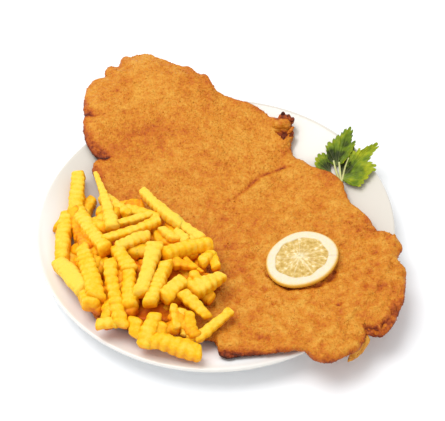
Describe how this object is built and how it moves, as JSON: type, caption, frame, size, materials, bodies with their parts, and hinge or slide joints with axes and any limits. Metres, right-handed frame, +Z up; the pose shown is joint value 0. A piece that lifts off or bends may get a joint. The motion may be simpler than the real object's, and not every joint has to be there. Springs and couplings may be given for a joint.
{
  "type": "schnitzel",
  "caption": "Large breaded schnitzel on a round white dinner plate, served with a heap of crinkle-cut fries, a lemon slice and a sprig of parsley.",
  "frame": {"origin": "middle of the whole meal's box in plan, on the surface the plate stands on", "axes": "+Z up; +X to the right and +Y away from a diner who has the fries at the left and the lemon slice at the right; the schnitzel's longer side runs along +Y and a little towards -X"},
  "size_m": [0.3026, 0.3626, 0.053],
  "materials": {
    "porcelain": "glazed white porcelain, smooth and glossy",
    "crumb_crust": "fried breadcrumb crust, golden orange with darker edges and creases, fine crumb grain",
    "fried_potato": "fried potato, golden yellow, slightly oily",
    "lemon": "wet lemon flesh inside a cream pith and a thin yellow rind",
    "parsley_leaf": "fresh green leaf, lighter along the veins and edges"
  },
  "bodies": {
    "root": {"plate": "porcelain", "schnitzel": "crumb_crust", "fries": "fried_potato", "lemon_slice": "lemon", "parsley": "parsley_leaf"}
  },
  "joints": []
}
